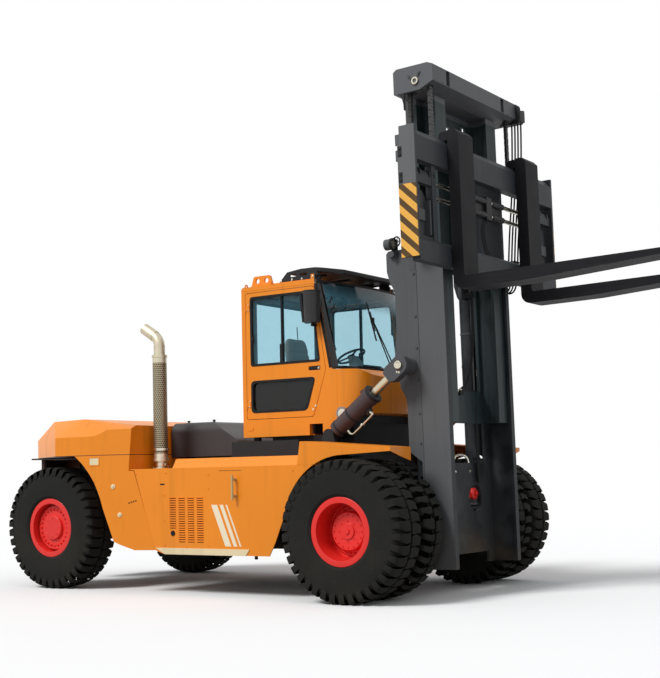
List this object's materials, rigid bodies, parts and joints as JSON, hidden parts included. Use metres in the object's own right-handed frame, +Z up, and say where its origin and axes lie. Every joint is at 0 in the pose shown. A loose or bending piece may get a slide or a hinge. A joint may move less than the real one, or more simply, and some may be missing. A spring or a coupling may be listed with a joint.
{
  "type": "heavy counterbalance forklift truck",
  "caption": "Heavy counterbalance forklift truck with cab, raised two-stage mast, carriage with two forks, twin drive wheels and steered rear wheels.",
  "frame": {"origin": "centre of the bounding box, on the ground", "axes": "+X forward to the forks, +Y left, +Z up"},
  "size_m": [8.9168, 3.48, 5.6359],
  "materials": {
    "orange_paint": "gloss",
    "mast_paint": "satin",
    "black_paint": "satin",
    "rim_paint": "gloss",
    "tyre_rubber": "matte",
    "bright_steel": "polished",
    "exhaust_steel": "satin",
    "cast": "matte",
    "cab_glass": "clear",
    "trim_plastic": "matte",
    "seat_cloth": "matte"
  },
  "bodies": {
    "chassis": {"chassis_frame": "black_paint", "counterweight": "orange_paint", "side_panel_right": "orange_paint", "side_panel_left": "orange_paint", "deck": "orange_paint", "fenders": "orange_paint", "engine_block": "cast", "exhaust_stack": "exhaust_steel", "cab_shell": "orange_paint", "cab_cowl": "orange_paint", "cab_glass": "cab_glass", "roof_guard": "black_paint", "seat": "seat_cloth", "dashboard": "trim_plastic", "steering_wheel": "trim_plastic", "drive_axle": "cast", "steer_axle": "cast"},
    "hood": {"engine_hood": "black_paint"},
    "mast_outer": {"outer_mast": "mast_paint", "lift_barrels": "mast_paint"},
    "mast_inner": {"inner_mast": "mast_paint", "lift_rods": "bright_steel", "lift_chains": "black_paint"},
    "carriage_body": {"carriage": "mast_paint", "positioner_rods": "bright_steel"},
    "door_right_body": {"door_right": "orange_paint", "door_glass_right": "cab_glass"},
    "front_wheels_right": {"front_rims_right": "rim_paint", "front_tyres_right": "tyre_rubber"},
    "steer_right": {"knuckle_right": "cast"},
    "rear_wheel_right": {"rear_rim_right": "rim_paint", "rear_tyre_right": "tyre_rubber"},
    "fork_right_body": {"fork_right": "black_paint"},
    "tilt_cylinder_right": {"tilt_barrel_right": "black_paint"},
    "tilt_piston_right": {"tilt_rod_right": "bright_steel"},
    "door_left_body": {"door_left": "orange_paint", "door_glass_left": "cab_glass"},
    "front_wheels_left": {"front_rims_left": "rim_paint", "front_tyres_left": "tyre_rubber"},
    "steer_left": {"knuckle_left": "cast"},
    "rear_wheel_left": {"rear_rim_left": "rim_paint", "rear_tyre_left": "tyre_rubber"},
    "fork_left_body": {"fork_left": "black_paint"},
    "tilt_cylinder_left": {"tilt_barrel_left": "black_paint"},
    "tilt_piston_left": {"tilt_rod_left": "bright_steel"}
  },
  "joints": [
    {"name": "front_wheels_right_roll", "type": "hinge", "parent": "chassis", "child": "front_wheels_right", "pos_m": [0.96165, -1.285, 0.745], "axis": [0, 1, 0], "continuous": true},
    {"name": "steer_right_turn", "type": "hinge", "parent": "chassis", "child": "steer_right", "pos_m": [-3.50835, -0.905, 0.745], "axis": [0, 0, 1], "range_deg": [-60, 60]},
    {"name": "rear_wheel_right_roll", "type": "hinge", "parent": "steer_right", "child": "rear_wheel_right", "pos_m": [-3.50835, -1.275, 0.745], "axis": [0, 1, 0], "continuous": true},
    {"name": "door_right_swing", "type": "hinge", "parent": "chassis", "child": "door_right_body", "pos_m": [-0.87835, -0.85, 2.7], "axis": [0, 0, 1], "range_deg": [-80, 0]},
    {"name": "fork_right_shift", "type": "slide", "parent": "carriage_body", "child": "fork_right_body", "axis": [0, 1, 0], "range_m": [-0.45, 0.45]},
    {"name": "tilt_cylinder_right_swing", "type": "hinge", "parent": "chassis", "child": "tilt_cylinder_right", "pos_m": [0.38165, -0.96, 1.76], "axis": [0, 1, 0], "range_deg": [-10, 10]},
    {"name": "tilt_piston_right_slide", "type": "slide", "parent": "tilt_cylinder_right", "child": "tilt_piston_right", "axis": [0.7857, 0, 0.6186], "range_m": [-0.23, 0.2]},
    {"name": "front_wheels_left_roll", "type": "hinge", "parent": "chassis", "child": "front_wheels_left", "pos_m": [0.96165, 1.285, 0.745], "axis": [0, 1, 0], "continuous": true},
    {"name": "steer_left_turn", "type": "hinge", "parent": "chassis", "child": "steer_left", "pos_m": [-3.50835, 0.905, 0.745], "axis": [0, 0, 1], "range_deg": [-60, 60]},
    {"name": "rear_wheel_left_roll", "type": "hinge", "parent": "steer_left", "child": "rear_wheel_left", "pos_m": [-3.50835, 1.275, 0.745], "axis": [0, 1, 0], "continuous": true},
    {"name": "door_left_swing", "type": "hinge", "parent": "chassis", "child": "door_left_body", "pos_m": [-0.87835, 0.85, 2.7], "axis": [0, 0, 1], "range_deg": [0, 80]},
    {"name": "fork_left_shift", "type": "slide", "parent": "carriage_body", "child": "fork_left_body", "axis": [0, 1, 0], "range_m": [-0.45, 0.45]},
    {"name": "tilt_cylinder_left_swing", "type": "hinge", "parent": "chassis", "child": "tilt_cylinder_left", "pos_m": [0.38165, 0.96, 1.76], "axis": [0, 1, 0], "range_deg": [-10, 10]},
    {"name": "tilt_piston_left_slide", "type": "slide", "parent": "tilt_cylinder_left", "child": "tilt_piston_left", "axis": [0.7857, 0, 0.6186], "range_m": [-0.23, 0.2]},
    {"name": "mast_tilt", "type": "hinge", "parent": "chassis", "child": "mast_outer", "pos_m": [1.26165, 0, 0.62], "axis": [0, 1, 0], "range_deg": [-8.7, 7.3]},
    {"name": "mast_lift", "type": "slide", "parent": "mast_outer", "child": "mast_inner", "axis": [-0.0227, 0, 0.9997], "range_m": [-1.575, 0.425]},
    {"name": "carriage_lift", "type": "slide", "parent": "mast_inner", "child": "carriage_body", "axis": [-0.0227, 0, 0.9997], "range_m": [-1.575, 0.425]},
    {"name": "hood_lift", "type": "hinge", "parent": "chassis", "child": "hood", "pos_m": [-2.10835, 0, 1.985], "axis": [0, 1, 0], "range_deg": [-55, 0]}
  ],
  "couplings": [
    {"joint": "steer_left_turn", "follows": "steer_right_turn", "ratio": 1},
    {"joint": "carriage_lift", "follows": "mast_lift", "ratio": 1},
    {"joint": "fork_left_shift", "follows": "fork_right_shift", "ratio": -1},
    {"joint": "tilt_cylinder_right_swing", "follows": "mast_tilt", "ratio": 1.0281},
    {"joint": "tilt_piston_right_slide", "follows": "mast_tilt", "m_per_rad": 1.4344},
    {"joint": "tilt_cylinder_left_swing", "follows": "mast_tilt", "ratio": 1.0281},
    {"joint": "tilt_piston_left_slide", "follows": "mast_tilt", "m_per_rad": 1.4344}
  ]
}
